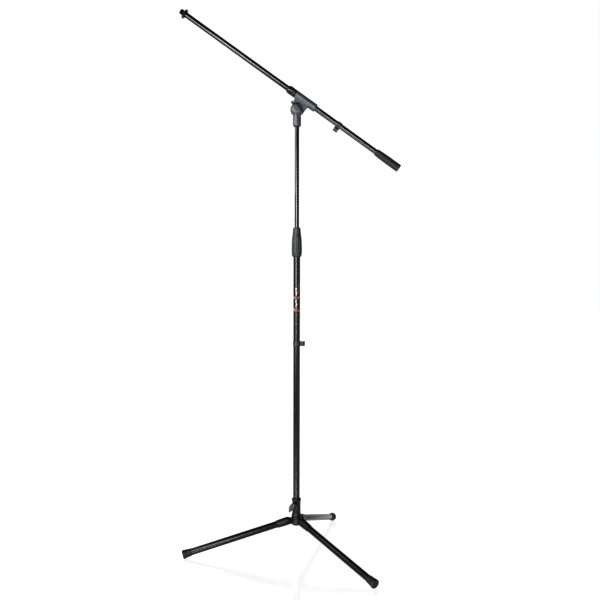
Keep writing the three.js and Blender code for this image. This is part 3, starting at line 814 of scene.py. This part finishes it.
def pivot_socket():
    """A collar with a cheek whose lens-shaped dome drops steeply towards the clamp's stem."""
    dome = common(along_y(full_dome()), dome_lens())
    rim_outline = [(0, CHEEK_RIM), (CHEEK_R, CHEEK_RIM, 1), (CHEEK_R, CHEEK_BACK, 0.3), (0, CHEEK_BACK)]
    rim = along_y(lathe(rim_outline, 128))
    neck = block((-8.5, -10.5, -26), (8.5, CHEEK_BACK, -14))
    shoulder_r = COLLAR_R - 0.4
    shoulder = lathe([(0, -27), (shoulder_r, -27), (shoulder_r, -14, 3), (0, -11)])
    behind = block((-30, CHEEK_BACK, -22.7), (30, 30, 30))
    tube_hole = rod(UPPER_TUBE_R + 0.3, -60, -31)
    pocket = along_y(rod(6.3, -8, 2, 64))
    return moulded(
        "pivot_socket",
        [collar(), dome, rim, neck, shoulder],
        cuts=[behind],
        bores=[tube_hole, pocket],
        voxel=0.5,
        smoothing=5,
    )


stand_for("pivot_socket", pivot_socket(), pivot_frame)


def quad_curve(start, control, end, steps=10):
    """Points of a quadratic curve after its start."""
    a, b, c = Vector(start), Vector(control), Vector(end)
    points = [a.lerp(b, s / steps).lerp(b.lerp(c, s / steps), s / steps) for s in range(1, steps + 1)]
    return [tuple(point) for point in points]


def clamp_web():
    """The disc and stem, flaring into the boom's sleeve on both sides."""
    under = BOOM_T - SLEEVE_R
    left = SLEEVE_START + 0.5
    right = STEM_HALF + 10
    outline = arc((0, 0), DISC_R, 180, 360, 40)
    outline += [(STEM_HALF, 0), (STEM_HALF, under - 6)]
    outline += quad_curve((STEM_HALF, under - 6), (STEM_HALF, under + 2), (right, under + 6))
    outline += [(right, BOOM_T), (left, BOOM_T), (left, under + 6)]
    outline += quad_curve((left, under + 6), (-STEM_HALF - 3, under - 2), (-STEM_HALF, 6))
    return upright(prism(outline, -10.5, 9))


def on_boom_line(bm):
    return shifted(along_x(bm), z=BOOM_T)


def clamp_body():
    """A T-shaped clamp: a disc and stem under a sleeve, with a spigot that the nut goes over."""
    lug = block((-STEM_HALF - 6.7, -7.8, 5.8), (-STEM_HALF + 5, 3.8, 12.2))
    sleeve_ends = (SLEEVE_R, SLEEVE_START, 1), (SLEEVE_R, SLEEVE_END, 1)
    sleeve = on_boom_line(lathe([(0, SLEEVE_START), *sleeve_ends, (0, SLEEVE_END)], 128))
    spigot = on_boom_line(lathe([(0, -44), (10.4, -44, 0.8), (10.4, -28), (0, -28)]))
    cheek_room = along_y(rod(CHEEK_R + 0.5, -20, 1, 128))
    stem_left = -STEM_HALF + 2
    under_lug = block((-60, -30, -60), (stem_left, 1, 5.5))
    under_stem = block((stem_left, -30, -60), (60, 1, 9))
    boom_hole = on_boom_line(rod(BOOM_TUBE_R + 0.3, -50, 60, 128))
    spindle_hole = along_y(rod(4.4, -5, 20, 64))
    return moulded(
        "clamp",
        [clamp_web(), lug, sleeve, spigot],
        cuts=[cheek_room, under_lug, under_stem],
        bores=[boom_hole, spindle_hole],
        voxel=0.55,
        smoothing=4,
    )


stand_for("boom_clamp_body", clamp_body(), clamp_frame)

NUT_START = -61.6
NUT_END = -31
NUT_R = 12.3


def ribbed(radius, height, angle):
    """Three turned grooves, and fine ribs along the half next to the clamp's sleeve."""
    if radius < 11:
        return radius
    groove = sum(math.exp(-(((height - at) / 0.75) ** 2)) for at in (-41.5, -36.6, -32.3))
    ribs = 0.22 * max(0, math.cos(angle * 36)) if -47 < height < -31.4 else 0
    return radius - 0.9 * groove - ribs


def boom_lock_nut():
    """A hollow nut that narrows to a nose on the boom."""
    outline = [
        (BOOM_TUBE_R + 0.5, NUT_START + 5),
        (BOOM_TUBE_R + 0.5, NUT_START, 0.4),
        (9.6, NUT_START, 1),
        (11.2, NUT_START + 2, 2),
        (NUT_R, NUT_START + 6, 4),
        (NUT_R, NUT_END, 0.5),
        (10.8, NUT_END),
        (10.8, -44.6),
        (10.3, -44.6),
        (10.3, NUT_START + 5),
    ]
    return lathe(outline, 216, ribbed, 0.4)


stand_for("boom_lock_nut", boom_lock_nut(), boom_frame, GLOSS_PLASTIC, sharp_angle=55)

# ---------------------------------------------------------------- boom's ends

TIP_END = -481
RING_START = -467
RING_END = -461.4
STUD_R = 7.94
THREAD_PITCH = 25.4 / 27
THREAD_DEPTH = 0.5
TAIL_START = 281
TAIL_END = 371.7


def threaded(radius, height, angle):
    """A V-shaped thread, from the stud's end as far as the ring."""
    if radius < STUD_R - 0.6 or height > RING_START - 0.3:
        return radius
    phase = (height / THREAD_PITCH - angle / (2 * math.pi)) % 1
    return radius - THREAD_DEPTH * abs(2 * phase - 1)


def tip_stud():
    """The microphone thread, with a plain plug that goes into the boom tube."""
    shoulder = -460.8
    plug_r = 6.7
    plug_end = -442.5
    outline = [
        (0, TIP_END),
        (STUD_R - 1.1, TIP_END, 0.2),
        (STUD_R, TIP_END + 1),
        (STUD_R, shoulder, 0.2),
        (plug_r, shoulder),
        (plug_r, plug_end, 0.5),
        (0, plug_end),
    ]
    return lathe(outline, 96, threaded, 0.12)


def knurled(radius, height, angle):
    """Straight knurling on the ring's rim."""
    return radius - 0.45 * abs(math.sin(angle * 24)) if radius > 14.2 else radius


def tip_ring():
    """A ring with a knurled flange and a narrower hub."""
    outline = [
        (STUD_R + 0.15, RING_START),
        (14.6, RING_START, 0.4),
        (15.2, RING_START + 0.7, 0.3),
        (15.2, RING_START + 2.5, 0.5),
        (14.4, RING_START + 3.2, 0.4),
        (11.2, RING_START + 3.5, 0.8),
        (10.8, RING_END, 0.4),
        (STUD_R + 0.15, RING_END),
    ]
    return lathe(outline, 240, knurled, 0.6)


def ridged(radius, height, angle):
    """Ten soft ridges along the rubber grip, with a plain collar at its mouth."""
    if radius < 10 or height > TAIL_END - 2.4:
        return radius
    rise = min(1, max(0, (height - TAIL_START - 7) / 6))
    return radius * (1 - 0.032 * rise * (1 - abs(math.cos(angle * 5))))


def tail_grip():
    """A closed rubber sleeve on the boom's low end."""
    bore_r = BOOM_TUBE_R + 0.15
    bore_end = 366.3
    outline = [
        (0, bore_end),
        (bore_r, bore_end),
        (bore_r, TAIL_START),
        (9.2, TAIL_START, 0.4),
        (9.5, TAIL_START + 3, 1),
        (10.7, TAIL_START + 5.5, 1.5),
        (11.6, TAIL_START + 22, 8),
        (12.1, TAIL_START + 50, 8),
        (12, TAIL_END - 3, 1),
        (11.2, TAIL_END, 1),
        (0, TAIL_END),
    ]
    return lathe(outline, 240, ridged, 1.0)


stand_for("tip_stud", tip_stud(), boom_frame, sharp_angle=25)
stand_for("tip_lock_ring", tip_ring(), boom_frame, sharp_angle=40)
stand_for("tail_grip", tail_grip(), boom_frame, sharp_angle=60)

# ---------------------------------------------------------------- tilt handle, behind the clamp

HANDLE_START = 11.6
HANDLE_END = 23.9
HANDLE_HUB_R = 7.8
BAR_TIP = 19.6
BAR_TIP_R = 4.3
BAR_HALF = 5.2


def tilt_lever():
    """A T-bar: two tapered wings on a round hub."""
    upper_tip = arc((0, BAR_TIP), BAR_TIP_R, 0, 180)
    lower_tip = arc((0, -BAR_TIP), BAR_TIP_R, 180, 360)
    bar = upright(prism([*upper_tip, (-BAR_HALF, 0), *lower_tip, (BAR_HALF, 0)], -23.4, -15.6))
    hub_ends = (HANDLE_HUB_R, HANDLE_START, 1.5), (HANDLE_HUB_R, HANDLE_END, 2.5)
    hub = along_y(lathe([(0, HANDLE_START), *hub_ends, (0, HANDLE_END)]))
    hole = along_y(rod(4.1, 8, 21.2, 64))
    return moulded("tilt_lever", [bar, hub], bores=[hole], voxel=0.5, smoothing=6)


stand_for("tilt_lever", tilt_lever(), pivot_frame)

# ---------------------------------------------------------------- cable clips

CLIP_HALF = 7.3
CLIP_REACH = 15.6
HOOK_R = 7
HOOK_INNER = 5
NECK_HALF = 4.9
POLE_CLIP_WALL = 0.9
BOOM_CLIP_WALL = 1.6


def band(inner, outer, edge):
    """A ring as long as the clip, with its outer edges rounded."""
    low, high = -CLIP_HALF, CLIP_HALF
    return lathe([(inner, low, 0.3), (outer, low, edge), (outer, high, edge), (inner, high, 0.3)], 128)


def cable_clip(tube_r, wall):
    """A spring ring on the tube and a hook for the cable, both open to one side, with a rounded rim."""
    ring_in = tube_r + 0.1
    ring_out = tube_r + 0.3 + wall
    hook_x = tube_r + CLIP_REACH - HOOK_R
    ring = band(ring_in, ring_out, 0.3)
    hook = band(HOOK_INNER, HOOK_R, 0.6)
    neck_end = CLIP_HALF - 0.1
    neck = block((ring_in + 0.5, -NECK_HALF, -neck_end), (hook_x, NECK_HALF, neck_end))
    hook_hole = rod(HOOK_INNER, -20, 20)
    ring_mouth = block((-tube_r * 0.55, 0, -20), (tube_r * 0.25, 30, 20))
    hook_mouth = block((hook_x - 3, 0, -20), (hook_x + 3, 30, 20))
    return moulded(
        "clip",
        [ring, shifted(hook, x=hook_x), neck],
        cuts=[ring_mouth, hook_mouth],
        bores=[shifted(hook_hole, x=hook_x)],
        voxel=0.32,
        smoothing=3,
    )


def clip_frame(node, origin, axis, matrix):
    """The frame of a tube, moved to the middle of the clip on it."""
    low, high = node_span(node, origin, axis)
    return matrix @ Matrix.Translation((0, 0, (low + high) / 2))


stand_for(
    "pole_cable_clip",
    cable_clip(LOWER_TUBE_R, POLE_CLIP_WALL),
    clip_frame("pole_cable_clip", pole_foot, up, pole_frame),
)
stand_for(
    "boom_cable_clip",
    cable_clip(BOOM_TUBE_R, BOOM_CLIP_WALL),
    clip_frame("boom_cable_clip", boom_foot, boom_axis, boom_frame),
)

# ---------------------------------------------------------------- printed blocks on the lower tube


def printed_patch(name, low, high, left, right, material):
    """A thin patch of ink on the tube's front; left and right are degrees from the front."""
    inner = LOWER_TUBE_R - 0.02
    outer = LOWER_TUBE_R + 0.06
    section = ((inner, low), (outer, low), (outer, high), (inner, high))
    columns = max(2, math.ceil((right - left) / 4))
    bm = bmesh.new()
    grid = []
    for column in range(columns + 1):
        angle = math.radians(-90 + left + (right - left) * column / columns)
        x, y = math.cos(angle), math.sin(angle)
        grid.append([bm.verts.new((r * x, r * y, height)) for r, height in section])
    for a, b in zip(grid, grid[1:]):
        for corner in range(4):
            nxt = (corner + 1) % 4
            bm.faces.new((a[corner], a[nxt], b[nxt], b[corner]))
    bm.faces.new(grid[0])
    bm.faces.new(grid[-1][::-1])
    made = mesh_object(name, bm)
    add(made, pole_frame, "lower_pole", "black_paint", material)


# ink, low, high, and the degrees from the front at its left and right
PRINT_BLOCKS = [
    ("grey", 822, 852, 30, 41),
    ("white", 828, 838, -24, 3),
    ("white", 820, 826.5, -20, 14),
    ("white", 814.5, 818.5, -22, 0),
    ("orange", 803, 812, -68, -30),
    ("brick", 803.5, 812.5, -26, 14),
    ("orange", 803, 811, 18, 50),
    ("white", 791, 801, -24, -2),
    ("white", 784, 790, -14, 12),
    ("white", 778, 783, -24, 2),
    ("orange", 763, 775, -66, -34),
    ("orange", 764, 770, -28, -4),
    ("brick", 764, 775, 0, 22),
    ("orange", 762.5, 769, 26, 56),
]
for number, (ink, low, high, left, right) in enumerate(PRINT_BLOCKS, 1):
    printed_patch(f"print_block_{number}", low, high, left, right, INKS[ink])

# ---------------------------------------------------------------- floor, light and camera

FLOOR_GLOW = 0.85
FLOOR_HALF = 30


def backlit_acrylic():
    """A glowing white floor that mirrors faintly."""
    n = Nodes("backlit_acrylic")
    n.shader.inputs["Metallic"].default_value = 1.0
    n.shader.inputs["Emission Color"].default_value = (1, 1, 1, 1)
    n.shader.inputs["Emission Strength"].default_value = FLOOR_GLOW
    colour = n.mixed(n.ranged(n.noise(0.8, 2), 0, 1), (0.88, 0.88, 0.88), (0.92, 0.92, 0.92))
    roughness = n.ranged(n.noise(2, 2), 0.13, 0.17)
    material = n.finish(colour, roughness, n.bump(n.noise(5, 2), 0.01, 0.001))
    material.cycles.emission_sampling = "NONE"
    return material


floor_bm = bmesh.new()
bmesh.ops.create_grid(floor_bm, x_segments=8, y_segments=8, size=FLOOR_HALF)
floor = mesh_object("floor", floor_bm)
floor.data.materials.append(backlit_acrylic())

BACKDROP = 1.0  # as the camera sees it
ROOM_GLOW = 0.19  # as it lights the stand and the floor
world = bpy.data.worlds.new("studio")
bpy.context.scene.world = world
world.use_nodes = True
sky = world.node_tree
around = sky.nodes["Background"]
around.inputs["Color"].default_value = (1, 1, 1, 1)
around.inputs["Strength"].default_value = ROOM_GLOW
seen = sky.nodes.new("ShaderNodeBackground")
seen.inputs["Color"].default_value = (1, 1, 1, 1)
seen.inputs["Strength"].default_value = BACKDROP
choose = sky.nodes.new("ShaderNodeMixShader")
sky.links.new(sky.nodes.new("ShaderNodeLightPath").outputs["Is Camera Ray"], choose.inputs["Fac"])
sky.links.new(around.outputs["Background"], choose.inputs[1])
sky.links.new(seen.outputs["Background"], choose.inputs[2])
sky.links.new(choose.outputs["Shader"], sky.nodes["World Output"].inputs["Surface"])


def softbox(name, place, target, width, height, power, roll=0):
    """A rectangular light. Its place and its target are measured from the pole's foot, in metres."""
    light = bpy.data.lights.new(name, "AREA")
    light.shape = "RECTANGLE"
    light.size = width
    light.size_y = height
    light.energy = power
    made = bpy.data.objects.new(name, light)
    made.location = pole_foot + Vector(place)
    aim = (Vector(target) - Vector(place)).to_track_quat("-Z", "Y").to_matrix().to_4x4()
    made.rotation_euler = (aim @ turn("Z", roll)).to_euler()
    bpy.context.scene.collection.objects.link(made)


STRIP_AZIMUTH = math.radians(48)  # to the left of the camera, seen from the pole
STRIP_DISTANCE = 2.2
strip_x = -STRIP_DISTANCE * math.sin(STRIP_AZIMUTH)
strip_y = -STRIP_DISTANCE * math.cos(STRIP_AZIMUTH)
FRONT_ROLL = math.radians(-37)  # lies parallel to the boom
softbox("strip", (strip_x, strip_y, 1.95), (0, 0, 1.9), width=0.7, height=3.1, power=89)
softbox("front", (-0.55, -2.5, 1.32), (0, 0, 1.3), width=2.0, height=0.65, power=82, roll=FRONT_ROLL)
softbox("high", (-2.4, -0.25, 2.1), (0, 0, 1.2), width=0.8, height=1.0, power=30)
softbox("wall", (2.4, -1.8, 1.1), (0, 0, 0.9), width=2.4, height=2.2, power=31)
for side in (-1, 1):
    softbox("back", (1.4 * side, 2.5, 1.6), (0, 0, 1), width=1.4, height=2.0, power=9)
# low behind the stand, where the back leg's side mirrors it
softbox("rear", (1.25, 2.3, 0.42), (0.1, 0.25, 0.1), width=1.6, height=0.8, power=4.6)

DISPLAY_GAMMA = 0.5  # below 1 deepens the blacks
CAMERA_BACK = 2.222
CAMERA_RIGHT = 0.0104
CAMERA_HEIGHT = 0.8
CAMERA_ROLL = math.radians(-0.08)
CAMERA_LENS = 42.06
camera_data = bpy.data.cameras.new("camera")
camera_data.lens = CAMERA_LENS
camera_data.sensor_width = 36
camera_data.clip_end = 100
camera = bpy.data.objects.new("camera", camera_data)
camera.location = (pole_foot.x + CAMERA_RIGHT, pole_foot.y - CAMERA_BACK, CAMERA_HEIGHT)
camera.rotation_euler = (math.pi / 2, CAMERA_ROLL, 0)
bpy.context.scene.collection.objects.link(camera)
bpy.context.scene.camera = camera
bpy.context.scene.view_settings.view_transform = "Standard"
bpy.context.scene.view_settings.gamma = DISPLAY_GAMMA
